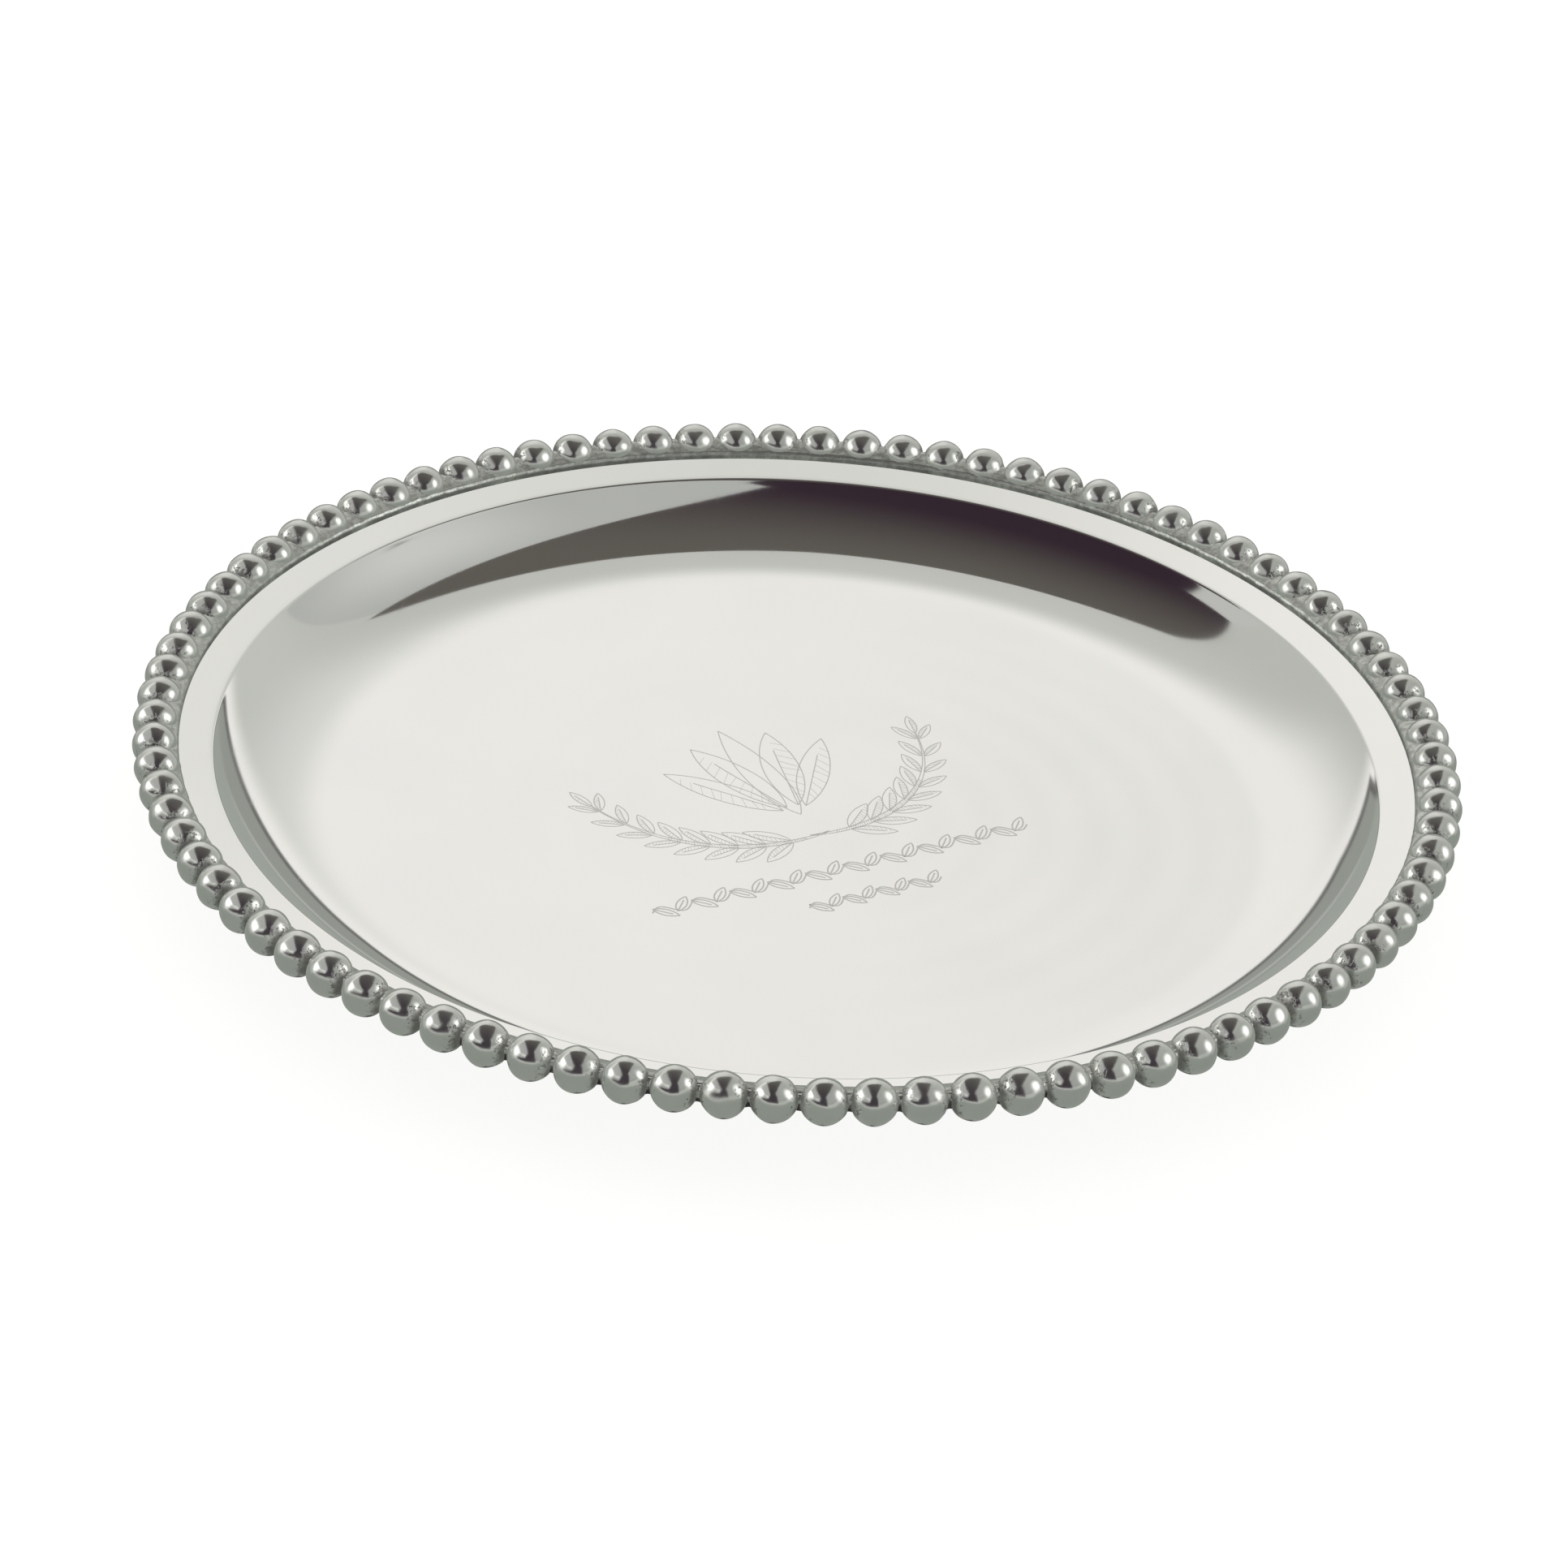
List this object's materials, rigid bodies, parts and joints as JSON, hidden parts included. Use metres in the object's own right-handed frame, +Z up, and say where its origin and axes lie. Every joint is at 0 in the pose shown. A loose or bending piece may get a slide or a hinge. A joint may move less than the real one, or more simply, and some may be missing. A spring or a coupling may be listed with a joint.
{
  "type": "round silver salver with a beaded border",
  "caption": "Round polished silver salver with a shallow dished well, a flat rim, a border of silver beads and a low foot ring, made to carry and present things on a table.",
  "frame": {"origin": "on the salver's centre line, in the plane that the foot ring stands on", "axes": "+Z up out of the well; a reader of the ornament on the floor stands on the -Y side, with +X to the right"},
  "size_m": [0.3048, 0.3048, 0.0278],
  "materials": {
    "polished_silver": "mirror-polished silver with fine wipe marks",
    "satin_silver": "satin silver",
    "cast_silver": "matt silver with a cast grain",
    "bead_silver": "polished silver with small pits"
  },
  "bodies": {
    "root": {"salver_dish": "polished_silver", "foot_ring": "satin_silver", "rim_bezel": "cast_silver", "core_wire": "cast_silver", "beads_right_back": "bead_silver", "beads_back_right": "bead_silver", "beads_back_left": "bead_silver", "beads_left_back": "bead_silver", "beads_left_front": "bead_silver", "beads_front_left": "bead_silver", "beads_front_right": "bead_silver", "beads_right_front": "bead_silver"}
  },
  "joints": []
}
